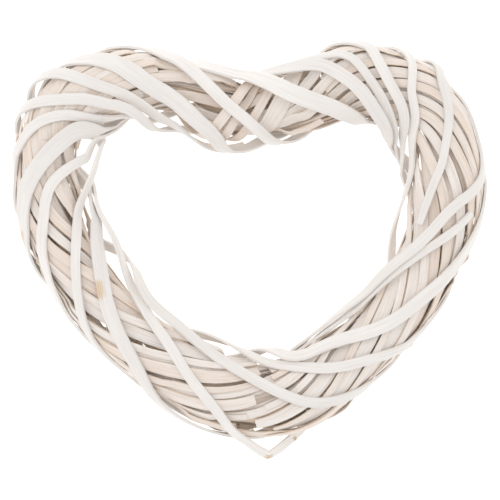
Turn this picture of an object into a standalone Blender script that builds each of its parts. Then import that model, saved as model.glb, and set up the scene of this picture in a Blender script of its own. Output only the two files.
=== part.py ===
"""Heart wreath wound from flat splits of whitewashed rattan.

The heart lies on its back in the X-Y plane, with the notch towards +Y and the tip towards -Y, and
the side that is looked at faces +Z. A closed line runs through the middle of the wound tube.
Every strip is placed by three numbers that change along it:

    station  how far round the heart line it is, in percent, from the notch down the -X lobe
    angle    where it is around the tube: 0 at the heart's outer edge, 90 on top, 180 at its
             inner edge, 270 underneath
    radius   how far it is from the heart line

The stations and angles of the broad outer strips are chosen one by one, and the rest follow a
rule. The radius comes from laying the strips one after another: each lies tight on the tube and
rises only where it has to clear the strips below it.
"""

import math

import bmesh
import bpy
import numpy as np

MM = 0.001

# Sizes of the heart line and the wound tube
LINE_WIDTH = 210 * MM
LINE_HEIGHT = 166 * MM
TUBE_RADIUS = 18.2 * MM
TUBE_FLATTENING = 0.82

# Sizes of the strips
OUTER_WIDTH = 6 * MM
OUTER_THICKNESS = 1.5 * MM
INNER_THICKNESS = 1.0 * MM
INNER_WIDTH = 4.7 * MM
INNER_DEPTH = 5.6 * MM
STRIP_GAP = 0.3 * MM
OUTER_SEGMENT = 11 * MM
INNER_SEGMENT = 14 * MM

# The surface it lies on: how much the lowest strips are worn down there, how near to it an outer
# face is brought down flat, and the least height of the face behind it
FOOT_FLAT = 0.5 * MM
FOOT_REACH = 1.6 * MM
FOOT_THICKNESS = 0.7 * MM

# How a strip's width changes: its share at the ends, the share of the length that the ends narrow
# over, and a slow wave whose start differs with the strip's width
END_WIDTH_SHARE = 0.75
END_REACH = 0.12
WIDTH_SWAY = 0.07
WIDTH_WAVE = 7.0
WIDTH_WAVE_START = 78.0
INNER_WIDTH_SPREAD = 0.18
INNER_WIDTH_STEP = 5.3

# Points of the heart line, as shares of its width and height from its middle
HEART_POINTS = (
    (-0.010, 0.399),
    (-0.132, 0.462),
    (-0.254, 0.493),
    (-0.369, 0.480),
    (-0.467, 0.396),
    (-0.500, 0.229),
    (-0.480, 0.056),
    (-0.402, -0.094),
    (-0.304, -0.242),
    (-0.186, -0.364),
    (-0.081, -0.455),
    (0.037, -0.500),
    (0.172, -0.467),
    (0.288, -0.347),
    (0.391, -0.201),
    (0.463, -0.016),
    (0.500, 0.178),
    (0.481, 0.369),
    (0.388, 0.480),
    (0.258, 0.500),
    (0.131, 0.428),
)

# How thick the tube is at some stations, as a share of its radius
TUBE_SWELL = (
    (0.0, 0.62),
    (2.5, 0.50),
    (5.5, 0.46),
    (9.5, 0.72),
    (15.5, 0.78),
    (19.0, 0.66),
    (22.5, 0.94),
    (27.0, 0.95),
    (32.0, 1.09),
    (37.0, 0.98),
    (43.0, 1.12),
    (48.5, 1.26),
    (52.5, 1.12),
    (56.0, 0.97),
    (61.0, 0.94),
    (66.0, 1.02),
    (71.0, 1.10),
    (75.5, 1.12),
    (80.0, 0.80),
    (84.5, 0.84),
    (90.0, 1.09),
    (95.0, 0.97),
    (97.5, 0.72),
)

# How far the whole tube is pressed in at the heart's outer edge and at its inner edge at some
# stations, or stands out there where it is less than nothing
OUTER_PRESS = (
    (0.0, 1.0 * MM),
    (3.0, 1.5 * MM),
    (7.0, 0.5 * MM),
    (10.0, 3.8 * MM),
    (13.0, 2.0 * MM),
    (16.0, 4.4 * MM),
    (21.0, 1.0 * MM),
    (24.0, 3.2 * MM),
    (26.0, 1.8 * MM),
    (29.0, 3.0 * MM),
    (33.0, 0.3 * MM),
    (40.0, -0.5 * MM),
    (48.0, 1.0 * MM),
    (54.0, 0.0 * MM),
    (61.0, 0.8 * MM),
    (64.0, 0.3 * MM),
    (68.0, 2.8 * MM),
    (73.0, 0.2 * MM),
    (77.0, 0.8 * MM),
    (90.0, 0.2 * MM),
    (93.5, -1.8 * MM),
    (97.0, 0.0 * MM),
)
INNER_PRESS = (
    (0.0, 0.0 * MM),
    (5.0, 1.8 * MM),
    (10.0, -2.2 * MM),
    (14.0, -2.6 * MM),
    (24.0, -0.2 * MM),
    (29.0, 3.0 * MM),
    (36.0, 2.6 * MM),
    (41.0, -1.4 * MM),
    (44.0, 0.0 * MM),
    (47.5, -2.0 * MM),
    (52.0, 0.6 * MM),
    (58.0, -0.6 * MM),
    (65.0, 0.0 * MM),
    (68.0, -2.2 * MM),
    (73.0, 0.0 * MM),
    (79.0, 1.8 * MM),
    (84.0, 0.3 * MM),
    (88.0, -1.0 * MM),
    (94.0, -2.6 * MM),
    (97.0, 0.8 * MM),
)

# How far the inner strips bulge out at the heart's outer edge, and how far they stay back from its
# inner edge at some stations
INNER_BULGE = 1.2 * MM
INNER_HOLLOW = (
    (0.0, 0.0 * MM),
    (14.0, 1.0 * MM),
    (20.0, 3.2 * MM),
    (30.0, 3.4 * MM),
    (35.0, 5.7 * MM),
    (42.0, 7.0 * MM),
    (47.0, 4.0 * MM),
    (57.0, 0.6 * MM),
    (63.0, 2.5 * MM),
    (68.0, 4.2 * MM),
    (74.0, 5.8 * MM),
    (81.0, 4.3 * MM),
    (86.0, 0.6 * MM),
    (94.0, 2.6 * MM),
    (98.0, 0.0 * MM),
)

# Outer strips in the order they are wound: letter, width and crease as shares of the usual outer
# width, how far in degrees its two tucked ends carry on round the back, and (station, angle) where
# the strip passes. A crease is how far the strip's fold stands out at the heart's outer edge.
OUTER_STRIPS = (
    ("b", 1.5, 0.25, 60, 90, (
        (0.3, 180), (1.0, 135), (5.9, 117), (8.5, 90), (11.3, 50), (14.1, 7),
    )),
    ("c", 1.0, 0.25, 60, 90, (
        (4.4, 165), (7.8, 136), (10.5, 110), (12.5, 93), (14.1, 63), (16.3, 0),
    )),
    ("d", 0.933, 0.167, 60, 90, (
        (6.6, 174), (9.2, 125), (12.2, 122), (14.4, 99), (15.9, 87), (18.0, 0),
    )),
    ("e", 0.867, 0.0, 95, 95, (
        (11.0, 168), (13.8, 148), (16.9, 100), (18.6, 60), (22.7, 1),
    )),
    ("f", 1.533, 0.0, 95, 95, (
        (13.4, 183), (16.5, 139), (18.9, 121), (22.2, 77), (24.6, 46), (27.9, -4),
    )),
    ("g", 0.867, 0.0, 95, 95, (
        (15.2, 174), (18.1, 173), (21.3, 149), (22.6, 111), (26.4, 79), (28.8, 35), (36.0, -9),
    )),
    ("h", 0.8, 0.0, 95, 95, (
        (17.6, 183), (21.9, 163), (26.1, 158), (29.9, 96), (34.6, 40), (38.6, 3), (43.2, 1),
    )),
    ("i", 1.2, 0.0, 95, 95, (
        (25.0, 186), (28.4, 163), (32.6, 110), (35.0, 86), (40.3, 46), (43.6, 14), (47.7, 1),
    )),
    ("j", 0.867, 1.5, 95, 95, (
        (26.1, 178), (34.9, 150), (38.5, 120), (43.8, 85), (47.1, 64), (49.2, 22), (51.0, -2),
    )),
    ("k", 0.967, 0.0, 95, 95, (
        (33.6, 178), (35.9, 145), (43.7, 133), (47.9, 123), (50.9, 108), (55.9, 48), (58.6, 9),
    )),
    ("l", 0.867, 0.0, 95, 95, (
        (45.9, 176), (49.7, 153), (54.3, 135), (57.4, 96), (60.8, 54), (62.9, 19), (65.1, 8),
    )),
    ("m", 1.1, 0.0, 95, 95, (
        (50.5, 185), (55.1, 141), (58.2, 135), (62.3, 92), (66.3, 66), (69.4, 34), (75.1, 0),
    )),
    ("n", 0.8, 0.0, 90, 0, (
        (58.1, 176), (64.7, 146), (69.2, 105), (71.1, 81), (74.0, 39),
    )),
    ("o", 0.867, 0.0, 95, 95, (
        (57.1, 185), (62.6, 158), (66.1, 141), (71.1, 99), (74.1, 78), (76.2, 37), (78.1, 8), (81.3, 2),
    )),
    ("p", 0.767, 0.25, 0, 95, (
        (72.0, 116), (74.6, 114), (77.5, 97), (79.6, 89), (81.7, 67), (83.6, 44), (84.4, -7),
    )),
    ("q", 0.8, 0.083, 95, 95, (
        (72.3, 185), (77.6, 163), (80.7, 149), (82.7, 117), (85.0, 94), (85.5, 49), (86.8, 1),
    )),
    ("r", 0.917, 0.0, 95, 95, (
        (78.2, 181), (82.0, 154), (83.7, 125), (86.1, 102), (87.8, 78), (88.4, 38), (90.1, 0),
    )),
    ("s", 0.8, 0.0, 90, 40, (
        (80.7, 181), (82.6, 161), (85.6, 133), (87.6, 108), (89.2, 82), (89.9, 45), (92.6, 37),
        (96.2, 11),
    )),
    ("t", 1.1, 0.0, 90, 40, (
        (81.6, 185), (84.6, 148), (86.8, 134), (89.1, 110), (90.6, 90), (91.8, 60), (94.0, 46),
        (96.7, 29), (100.5, 14),
    )),
    ("u", 1.433, 0.0, 90, 60, (
        (88.4, 177), (90.5, 164), (92.3, 129), (94.4, 88), (96.0, 69), (97.5, 51), (99.0, 32),
        (104.7, 29), (107.6, -13),
    )),
    ("a", 1.083, 0.0, 70, 90, (
        (97.2, 185), (98.7, 106), (104.9, 61), (108.9, 4),
    )),
)

# Angle in degrees over which a crease rises, how far the folded strip turns on its side there, and
# the letter of that strip
CREASE_REACH = 24
CREASE_ROLL = 55
ROLLED_STRIP = "j"

# Least and greatest degrees of angle per percent of station at which a tucked end turns
TUCK_SLOPES = (12.0, 26.0)

# Layers of inner strips, inside first: strands side by side, strips that follow one another in
# each strand, how many strand places a strand moves on in one way round the heart, and how many
# percent of the way round the layer leaves open at the notch
INNER_LAYERS = (
    (8, 2, 21, 0),
    (8, 2, 18, 15),
)
INNER_JOINT = 8 * MM

# How far the joints of neighbouring strands are shifted, and how far in degrees a strip sways
JOINT_STAGGER = 0.618
OPEN_STAGGER = 0.03
INNER_SWAY = 5
SWAY_STEPS = (2.3, 1.9, 1.0)

# Steep wraps that bind the notch, wound the other way: width as a share of the usual inner width,
# and (station, angle)
NOTCH_WRAPS = (
    (1.83, ((92.5, 0), (96.8, 90), (99.0, 180), (102.0, 260))),
    (1.06, ((95.5, 10), (98.6, 90), (100.2, 180), (102.5, 250))),
    (0.98, ((98.0, 10), (100.0, 90), (101.1, 180), (104.0, 250))),
    (1.11, ((98.6, 0), (100.9, 90), (102.2, 180), (106.0, 250))),
)

# Detail of the curves and of the map that the strips are laid on
LINE_SAMPLES = 1200
LOCATE_ROUNDS = 8
PATH_SAMPLES = 400
MAP_STATIONS = 900
MAP_ANGLES = 220
SAMPLES_ALONG = 24
SAMPLES_ACROSS = 15
LAYING_PASSES = 12
LIFT_REACH = 1.0
SHARP_ANGLE = 40

# Colour and roughness of the two finishes
WHITEWASH = (0.86, 0.85, 0.82)
WHITEWASH_ROUGHNESS = 0.75
CREAM = (0.72, 0.66, 0.58)
CREAM_ROUGHNESS = 0.8


def clear_scene():
    """Remove the objects that the file opened with."""
    for item in list(bpy.data.objects):
        bpy.data.objects.remove(item, do_unlink=True)


def closed_spline(points, count):
    """Points evenly spaced along a smooth closed curve through the given points."""
    size = len(points)
    matrix = 4 * np.eye(size) + np.roll(np.eye(size), 1, 1) + np.roll(np.eye(size), -1, 1)
    bends = np.linalg.solve(matrix, 6 * (np.roll(points, -1, 0) - 2 * points + np.roll(points, 1, 0)))
    place = np.linspace(0, size, 8 * count, endpoint=False)
    before = np.floor(place).astype(int)
    after = (before + 1) % size
    share = (place - before)[:, None]
    rest = 1 - share
    curve = points[before] * rest + points[after] * share
    curve += bends[before] * (rest**3 - rest) / 6 + bends[after] * (share**3 - share) / 6
    closed = np.vstack([curve, curve[:1]])
    steps = np.linalg.norm(np.diff(closed, axis=0), axis=1)
    travelled = np.concatenate([[0], np.cumsum(steps)])
    even = np.linspace(0, travelled[-1], count, endpoint=False)
    columns = [np.interp(even, travelled, closed[:, axis]) for axis in (0, 1)]
    return np.stack(columns, axis=1), travelled[-1]


class HeartLine:
    """The closed line through the middle of the tube, read by station in percent."""

    def __init__(self):
        scale = np.array([LINE_WIDTH, LINE_HEIGHT])
        self.points, self.length = closed_spline(np.array(HEART_POINTS) * scale, LINE_SAMPLES)
        step = np.roll(self.points, -1, 0) - np.roll(self.points, 1, 0)
        self.along = step / np.linalg.norm(step, axis=1)[:, None]
        self.outward = np.stack([self.along[:, 1], -self.along[:, 0]], axis=1)
        if self.outward[0, 1] < 0:
            self.outward = -self.outward

    def read(self, values, station):
        """Values along the line at any stations, below 0 and above 100 too."""
        grid = np.linspace(0, 100, LINE_SAMPLES, endpoint=False)
        columns = [np.interp(station, grid, values[:, axis], period=100) for axis in (0, 1)]
        return np.stack(columns, axis=-1)

    def share(self, table, station):
        """A table's value at a station, eased between the stated ones."""
        stations, shares = np.array(table).T
        near = [
            np.interp(station + offset, stations, shares, period=100)
            for offset in (-2, -1, 0, 1, 2)
        ]
        return np.mean(near, axis=0)

    def point(self, station, angle, radius):
        """The point at a station, an angle around the tube in radians and a radius."""
        middle = self.read(self.points, station)
        outward = self.read(self.outward, station)
        flat = middle + outward * (radius * np.cos(angle))[..., None]
        height = TUBE_FLATTENING * radius * np.sin(angle)
        return np.concatenate([flat, height[..., None]], axis=-1)

    def facing(self, station, angle):
        """The direction straight away from the tube's surface."""
        outward = self.read(self.outward, station)
        flat = outward * np.cos(angle)[..., None]
        height = np.sin(angle) / TUBE_FLATTENING
        direction = np.concatenate([flat, height[..., None]], axis=-1)
        return direction / np.linalg.norm(direction, axis=-1, keepdims=True)

    def locate(self, points, station):
        """Station, angle and radius of points that lie near the given stations."""
        for _ in range(LOCATE_ROUNDS):
            middle = self.read(self.points, station)
            along = self.read(self.along, station)
            miss = np.sum((points[..., :2] - middle) * along, axis=-1)
            station = station + 100 * miss / self.length
        outward = self.read(self.outward, station)
        reach = np.sum((points[..., :2] - middle) * outward, axis=-1)
        height = points[..., 2] / TUBE_FLATTENING
        return station, np.arctan2(height, reach), np.hypot(reach, height)


class Pile:
    """How high the strips lie so far, as a map over stations and angles."""

    def __init__(self):
        self.radius = np.zeros((MAP_STATIONS, MAP_ANGLES))

    def cells(self, station, angle):
        """The map's cell at each station and angle."""
        row = np.floor(station * MAP_STATIONS / 100).astype(int) % MAP_STATIONS
        column = np.floor(angle * MAP_ANGLES / math.tau).astype(int) % MAP_ANGLES
        return row, column

    def top(self, station, angle):
        """The highest radius in the cells at and around each place."""
        row, column = self.cells(station, angle)
        highest = np.zeros_like(station)
        for down in (-1, 0, 1):
            for right in (-1, 0, 1):
                near = self.radius[(row + down) % MAP_STATIONS, (column + right) % MAP_ANGLES]
                highest = np.maximum(highest, near)
        return highest

    def add(self, station, angle, radius):
        """Raise the map to the given places."""
        row, column = self.cells(station, angle)
        np.maximum.at(self.radius, (row, column), radius)


def eased_path(knots, stations):
    """Angles at the stations, on a smooth line through the knots that never turns back."""
    place = np.array([knot[0] for knot in knots], float)
    value = np.array([knot[1] for knot in knots], float)
    slope = np.diff(value) / np.diff(place)
    tangent = np.concatenate([slope[:1], 2 * slope[1:] * slope[:-1] / (slope[1:] + slope[:-1]), slope[-1:]])
    piece = np.clip(np.searchsorted(place, stations) - 1, 0, len(slope) - 1)
    width = place[piece + 1] - place[piece]
    share = np.clip((stations - place[piece]) / width, 0, 1)
    rest = 1 - share
    angle = value[piece] * rest**2 * (1 + 2 * share) + value[piece + 1] * share**2 * (1 + 2 * rest)
    angle += width * share * rest * (tangent[piece] * rest - tangent[piece + 1] * share)
    return angle


def with_tucks(knots, start_turn, end_turn):
    """The knots with an end round the back added where a strip is tucked in."""
    knots = list(knots)
    if start_turn:
        place, value = knots[0]
        slope = np.clip(abs((knots[2][1] - value) / (knots[2][0] - place)), *TUCK_SLOPES)
        turn = math.copysign(start_turn, value - knots[1][1])
        knots.insert(0, (place - start_turn / slope, value + turn))
    if end_turn:
        place, value = knots[-1]
        slope = np.clip(abs((knots[-3][1] - value) / (knots[-3][0] - place)), *TUCK_SLOPES)
        turn = math.copysign(end_turn, value - knots[-2][1])
        knots.append((place + end_turn / slope, value + turn))
    return knots


class Strip:
    """One flat split: its path, its section and the radius it ends up at."""

    def __init__(self, line, name, knots, width, thickness, radius, segment, crease=0.0):
        self.line = line
        self.name = name
        self.width = width
        self.thickness = thickness
        self.crease = crease
        fine = np.linspace(knots[0][0], knots[-1][0], PATH_SAMPLES)
        angle = np.radians(eased_path(knots, fine))
        spots = line.point(fine, angle, np.full_like(fine, radius))
        steps = np.linalg.norm(np.diff(spots, axis=0), axis=1)
        travelled = np.concatenate([[0], np.cumsum(steps)])
        fold = self.fold_place(angle, travelled)
        count_before = max(1, round(fold / segment)) if fold > 0 else 0
        count_after = max(1, round((travelled[-1] - fold) / segment))
        even = np.concatenate([
            np.linspace(0, fold, count_before, endpoint=False),
            np.linspace(fold, travelled[-1], count_after + 1),
        ])
        self.station = np.interp(even, travelled, fine)
        self.angle = np.interp(even, travelled, angle)
        self.radius = radius * line.share(TUBE_SWELL, self.station)
        spread = np.abs(np.degrees(self.angle)) / CREASE_REACH
        self.bump = np.clip(1 - spread, 0, 1)
        outward = np.cos(self.angle)
        self.radius -= line.share(OUTER_PRESS, self.station) * np.clip(outward, 0, 1)
        self.radius -= line.share(INNER_PRESS, self.station) * np.clip(-outward, 0, 1)
        self.radius += crease * self.bump

    def fold_place(self, angle, travelled):
        """How far along the strip it crosses the heart's outer edge, or 0."""
        crossed = np.nonzero(np.diff(np.sign(angle)))[0]
        if self.crease == 0 or len(crossed) == 0:
            return 0
        return travelled[crossed[0]]

    def corners(self):
        """The four corners of the section at each place along the strip."""
        middle = self.line.point(self.station, self.angle, self.radius)
        roll = np.radians(CREASE_ROLL) * self.bump if self.name.endswith("_" + ROLLED_STRIP) else 0
        facing = self.line.facing(self.station, self.angle + roll)
        heading = np.gradient(middle, axis=0)
        heading /= np.linalg.norm(heading, axis=1)[:, None]
        sideways = np.cross(heading, facing)
        sideways /= np.linalg.norm(sideways, axis=1)[:, None]
        facing = np.cross(sideways, heading)
        place = np.linspace(0, 1, len(middle))
        ends = np.clip(np.minimum(place, 1 - place) / END_REACH, 0, 1)
        share = END_WIDTH_SHARE + (1 - END_WIDTH_SHARE) * ends
        share *= 1 + WIDTH_SWAY * np.sin(WIDTH_WAVE * place + WIDTH_WAVE_START * self.width / OUTER_WIDTH)
        half_width = sideways * (share * self.width / 2)[:, None]
        half_thickness = facing * self.thickness / 2
        return np.stack([
            middle - half_width + half_thickness,
            middle + half_width + half_thickness,
            middle + half_width - half_thickness,
            middle - half_width - half_thickness,
        ], axis=1)

    def face_samples(self, left, right):
        """Places spread over one broad face of the strip, and how far along it they are."""
        corners = self.corners()
        along = (np.arange(SAMPLES_ALONG + 1) / SAMPLES_ALONG)[None, :, None, None]
        across = np.linspace(0, 1, SAMPLES_ACROSS)[None, None, :, None]
        a = corners[:-1, None, None, left]
        b = corners[:-1, None, None, right]
        c = corners[1:, None, None, right]
        d = corners[1:, None, None, left]
        near = a + (b - a) * across + (c - b) * along
        far = a + (c - d) * across + (d - a) * along
        spots = np.where(across >= along, near, far)
        pieces = len(corners) - 1
        ahead = np.arange(pieces)[:, None, None] + along[..., 0] + np.zeros((1, 1, SAMPLES_ACROSS))
        guess = np.interp(ahead, np.arange(len(corners)), self.station)
        station, angle, radius = self.line.locate(spots, guess)
        return station.ravel(), angle.ravel(), radius.ravel(), ahead.ravel()

    def lay(self, pile):
        """Lift the strip until it clears the pile, and add it to the pile."""
        order = np.arange(len(self.station))
        for _ in range(LAYING_PASSES):
            station, angle, radius, ahead = self.face_samples(3, 2)
            need = pile.top(station, angle) + STRIP_GAP - radius
            short = need > 0
            if not short.any():
                break
            away = np.abs(ahead[short][None, :] - order[:, None])
            weight = 0.5 + 0.5 * np.cos(np.pi * np.clip((away - 1) / LIFT_REACH, 0, 1))
            self.radius = self.radius + (weight * need[short][None, :]).max(axis=1)
        station, angle, radius, _ = self.face_samples(0, 1)
        pile.add(station, angle, radius)


def inner_knots(line, layer, strand, part):
    """Path of one inner strip of a layer, with a small sway of its own."""
    strands, parts, advance, opening = INNER_LAYERS[layer]
    stagger = strand * JOINT_STAGGER if opening == 0 else OPEN_STAGGER * math.sin(strand)
    share = opening / 200 + (part + stagger) * (1 - opening / 100) / parts
    span = (1 - opening / 100) / parts - INNER_JOINT / line.length
    turn = 360 * advance / strands
    first = 360 * strand / strands + turn * share
    sway = INNER_SWAY * math.sin(np.dot(SWAY_STEPS, (strand, part, layer)))
    return [
        (100 * share, first - sway),
        (100 * (share + span / 2), first + turn * span / 2 + sway),
        (100 * (share + span), first + turn * span - sway),
    ]


def bundle_relief(line, station, angle):
    """How far the bundle of inner strips bulges out of a plain tube, or stays back in it."""
    outward = np.cos(angle)
    hollow = line.share(INNER_HOLLOW, station)
    return INNER_BULGE * np.clip(outward, 0, 1) - hollow * np.clip(-outward, 0, 1)


def plan_strips(line):
    """Every strip in the order they are laid."""
    strips = []
    for layer, (strands, parts, _, _) in enumerate(INNER_LAYERS):
        radius = TUBE_RADIUS - INNER_DEPTH + layer * (INNER_THICKNESS + STRIP_GAP)
        for part in range(parts):
            for strand in range(strands):
                name = f"inner_strip_{len(strips) + 1:02d}"
                spread = INNER_WIDTH_SPREAD * math.sin(INNER_WIDTH_STEP * len(strips))
                knots = inner_knots(line, layer, strand, part)
                strip = Strip(
                    line, name, knots, INNER_WIDTH * (1 + spread), INNER_THICKNESS, radius, INNER_SEGMENT
                )
                strip.radius += bundle_relief(line, strip.station, strip.angle)
                strips.append(strip)
    for index, (width, knots) in enumerate(NOTCH_WRAPS):
        name = f"notch_wrap_{index + 1}"
        radius = TUBE_RADIUS - INNER_DEPTH / 2
        strips.append(Strip(
            line, name, knots, width * INNER_WIDTH, INNER_THICKNESS, radius, OUTER_SEGMENT
        ))
    for letter, width, crease, start_turn, end_turn, knots in OUTER_STRIPS:
        name = f"outer_strip_{letter}"
        knots = with_tucks(knots, start_turn, end_turn)
        strips.append(Strip(
            line, name, knots, width * OUTER_WIDTH, OUTER_THICKNESS, TUBE_RADIUS, OUTER_SEGMENT,
            crease * OUTER_WIDTH,
        ))
    return strips


def flatten_foot(corners):
    """The section's corners with the outer face flat where it nearly meets the surface below."""
    outer = corners[:, :2, 2]
    corners[:, :2, 2] = np.where(outer < FOOT_REACH, 0, outer)
    corners[:, 2:, 2] = np.maximum(corners[:, 2:, 2], FOOT_THICKNESS)
    return corners


def make_material(name, colour, roughness):
    """A painted wood finish."""
    material = bpy.data.materials.new(name)
    material.use_nodes = True
    shader = material.node_tree.nodes["Principled BSDF"]
    shader.inputs["Base Color"].default_value = (*colour, 1)
    shader.inputs["Roughness"].default_value = roughness
    shader.inputs["Metallic"].default_value = 0
    return material


def strip_object(name, corners, material):
    """A closed solid swept through the section's corners."""
    mesh = bpy.data.meshes.new(name)
    body = bmesh.new()
    rings = [[body.verts.new(corner) for corner in ring] for ring in corners]
    for this, following in zip(rings[:-1], rings[1:]):
        for side in range(4):
            a = this[side]
            b = this[(side + 1) % 4]
            c = following[(side + 1) % 4]
            d = following[side]
            if side == 2:
                body.faces.new((b, a, d)).smooth = True
                body.faces.new((b, d, c)).smooth = True
            else:
                body.faces.new((b, a, c)).smooth = True
                body.faces.new((a, d, c)).smooth = True
    body.faces.new(rings[0])
    body.faces.new(reversed(rings[-1]))
    bmesh.ops.recalc_face_normals(body, faces=body.faces)
    body.to_mesh(mesh)
    body.free()
    mesh.materials.append(material)
    mesh.set_sharp_from_angle(angle=math.radians(SHARP_ANGLE))
    item = bpy.data.objects.new(name, mesh)
    bpy.context.scene.collection.objects.link(item)
    return item


def main():
    clear_scene()
    whitewash = make_material("whitewashed_rattan", WHITEWASH, WHITEWASH_ROUGHNESS)
    cream = make_material("cream_rattan", CREAM, CREAM_ROUGHNESS)
    line = HeartLine()
    pile = Pile()
    strips = plan_strips(line)
    for strip in strips:
        strip.lay(pile)
    solids = [strip.corners() for strip in strips]
    every = np.concatenate([corners.reshape(-1, 3) for corners in solids])
    floor = every[:, 2].min() + FOOT_FLAT
    middle = (every.min(axis=0) + every.max(axis=0)) / 2
    shift = np.array([middle[0], middle[1], floor])
    for strip, corners in zip(strips, solids):
        material = whitewash if strip.name.startswith("outer") else cream
        strip_object(strip.name, flatten_foot(corners - shift), material)


main()
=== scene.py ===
"""Heart wreath of whitewashed rattan splits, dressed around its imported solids.

The strips follow the same paths round the same heart line as the solids do. Each is built again
with many short steps, a domed section, uneven edges and raised fibres, and takes the place of its
solid. The splits that fill the bundle are added here alone: between the inner strips, along the
heart's outer edge, at the notch and deep inside.
"""

import math

import bmesh
import bpy
import numpy as np
from bpy.props import FloatProperty, FloatVectorProperty, PointerProperty
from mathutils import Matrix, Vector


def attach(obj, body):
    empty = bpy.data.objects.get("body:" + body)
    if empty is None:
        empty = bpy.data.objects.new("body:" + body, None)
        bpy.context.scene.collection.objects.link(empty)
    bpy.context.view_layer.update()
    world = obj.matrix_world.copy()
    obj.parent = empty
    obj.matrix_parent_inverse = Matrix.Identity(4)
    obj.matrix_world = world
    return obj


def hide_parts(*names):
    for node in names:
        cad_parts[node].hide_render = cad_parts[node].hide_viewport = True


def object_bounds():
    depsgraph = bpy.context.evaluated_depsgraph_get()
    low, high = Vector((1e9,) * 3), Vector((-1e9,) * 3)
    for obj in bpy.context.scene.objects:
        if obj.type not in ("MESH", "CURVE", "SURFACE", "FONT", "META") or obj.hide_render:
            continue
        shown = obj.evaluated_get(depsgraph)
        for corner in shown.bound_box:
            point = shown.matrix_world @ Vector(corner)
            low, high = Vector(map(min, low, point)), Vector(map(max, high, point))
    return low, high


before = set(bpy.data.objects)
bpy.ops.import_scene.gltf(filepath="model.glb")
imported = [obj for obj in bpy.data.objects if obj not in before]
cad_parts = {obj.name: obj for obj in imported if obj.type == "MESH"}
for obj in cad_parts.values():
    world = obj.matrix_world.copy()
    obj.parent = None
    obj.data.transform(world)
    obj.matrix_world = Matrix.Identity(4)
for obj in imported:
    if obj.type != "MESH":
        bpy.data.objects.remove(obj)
CAD_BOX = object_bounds()

bl_info = {
    "name": "Rattan Heart Wreath",
    "version": (1, 0, 0),
    "blender": (4, 5, 0),
    "location": "3D View > Sidebar > Heart Wreath",
    "description": "Builds a heart wreath wound from flat whitewashed rattan splits",
    "category": "Add Mesh",
}

MM = 0.001
BODY = "root"


def in_mm(*rows):
    """A table of stations and lengths, with its lengths given in mm."""
    return tuple((station, length * MM) for station, length in rows)


# Sizes of the heart line and the wound tube
LINE_WIDTH = 210 * MM
LINE_HEIGHT = 166 * MM
TUBE_RADIUS = 18.2 * MM
TUBE_FLATTENING = 0.82

# Sizes of the strips
OUTER_WIDTH = 6 * MM
OUTER_THICKNESS = 1.5 * MM
INNER_THICKNESS = 1.0 * MM
INNER_WIDTH = 4.7 * MM
INNER_DEPTH = 5.6 * MM
STRIP_GAP = 0.3 * MM
OUTER_SEGMENT = 11 * MM
INNER_SEGMENT = 14 * MM

# How much the lowest strips are worn down where the wreath lies on them
FOOT_FLAT = 0.5 * MM

# How a strip's width changes: its share at the ends, the share of the length that the ends narrow
# over, a slow wave whose start differs with the strip's width, and how the inner strips differ
END_WIDTH_SHARE = 0.75
END_REACH = 0.12
WIDTH_SWAY = 0.07
WIDTH_WAVE = 7.0
WIDTH_WAVE_START = 78.0
INNER_WIDTH_SPREAD = 0.18
INNER_WIDTH_STEP = 5.3

# Points of the heart line, as shares of its width and height from its middle
HEART_POINTS = (
    (-0.010, 0.399), (-0.132, 0.462), (-0.254, 0.493), (-0.369, 0.480), (-0.467, 0.396),
    (-0.500, 0.229), (-0.480, 0.056), (-0.402, -0.094), (-0.304, -0.242), (-0.186, -0.364),
    (-0.081, -0.455), (0.037, -0.500), (0.172, -0.467), (0.288, -0.347), (0.391, -0.201),
    (0.463, -0.016), (0.500, 0.178), (0.481, 0.369), (0.388, 0.480), (0.258, 0.500),
    (0.131, 0.428),
)

# How thick the tube is at some stations, as a share of its radius
TUBE_SWELL = (
    (0.0, 0.62), (2.5, 0.50), (5.5, 0.46), (9.5, 0.72), (15.5, 0.78), (19.0, 0.66),
    (22.5, 0.94), (27.0, 0.95), (32.0, 1.09), (37.0, 0.98), (43.0, 1.12), (48.5, 1.26),
    (52.5, 1.12), (56.0, 0.97), (61.0, 0.94), (66.0, 1.02), (71.0, 1.10), (75.5, 1.12),
    (80.0, 0.80), (84.5, 0.84), (90.0, 1.09), (95.0, 0.97), (97.5, 0.72),
)

# How far the whole tube is pressed in at the heart's outer edge and at its inner edge at some
# stations, or stands out there where it is less than nothing
OUTER_PRESS = in_mm(
    (0.0, 1.0), (3.0, 1.5), (7.0, 0.5), (10.0, 3.8), (13.0, 2.0), (16.0, 4.4), (21.0, 1.0),
    (24.0, 3.2), (26.0, 1.8), (29.0, 3.0), (33.0, 0.3), (40.0, -0.5), (48.0, 1.0), (54.0, 0.0),
    (61.0, 0.8), (64.0, 0.3), (68.0, 2.8), (73.0, 0.2), (77.0, 0.8), (90.0, 0.2), (93.5, -1.8),
    (97.0, 0.0),
)
INNER_PRESS = in_mm(
    (0.0, 0.0), (5.0, 1.8), (10.0, -2.2), (14.0, -2.6), (24.0, -0.2), (29.0, 3.0), (36.0, 2.6),
    (41.0, -1.4), (44.0, 0.0), (47.5, -2.0), (52.0, 0.6), (58.0, -0.6), (65.0, 0.0),
    (68.0, -2.2), (73.0, 0.0), (79.0, 1.8), (84.0, 0.3), (88.0, -1.0), (94.0, -2.6),
    (97.0, 0.8),
)

# How far the inner strips bulge out at the heart's outer edge, and how far they stay back from its
# inner edge at some stations
INNER_BULGE = 1.2 * MM
INNER_HOLLOW = in_mm(
    (0.0, 0.0), (14.0, 1.0), (20.0, 3.2), (30.0, 3.4), (35.0, 5.7), (42.0, 7.0), (47.0, 4.0),
    (57.0, 0.6), (63.0, 2.5), (68.0, 4.2), (74.0, 5.8), (81.0, 4.3), (86.0, 0.6), (94.0, 2.6),
    (98.0, 0.0),
)

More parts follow.
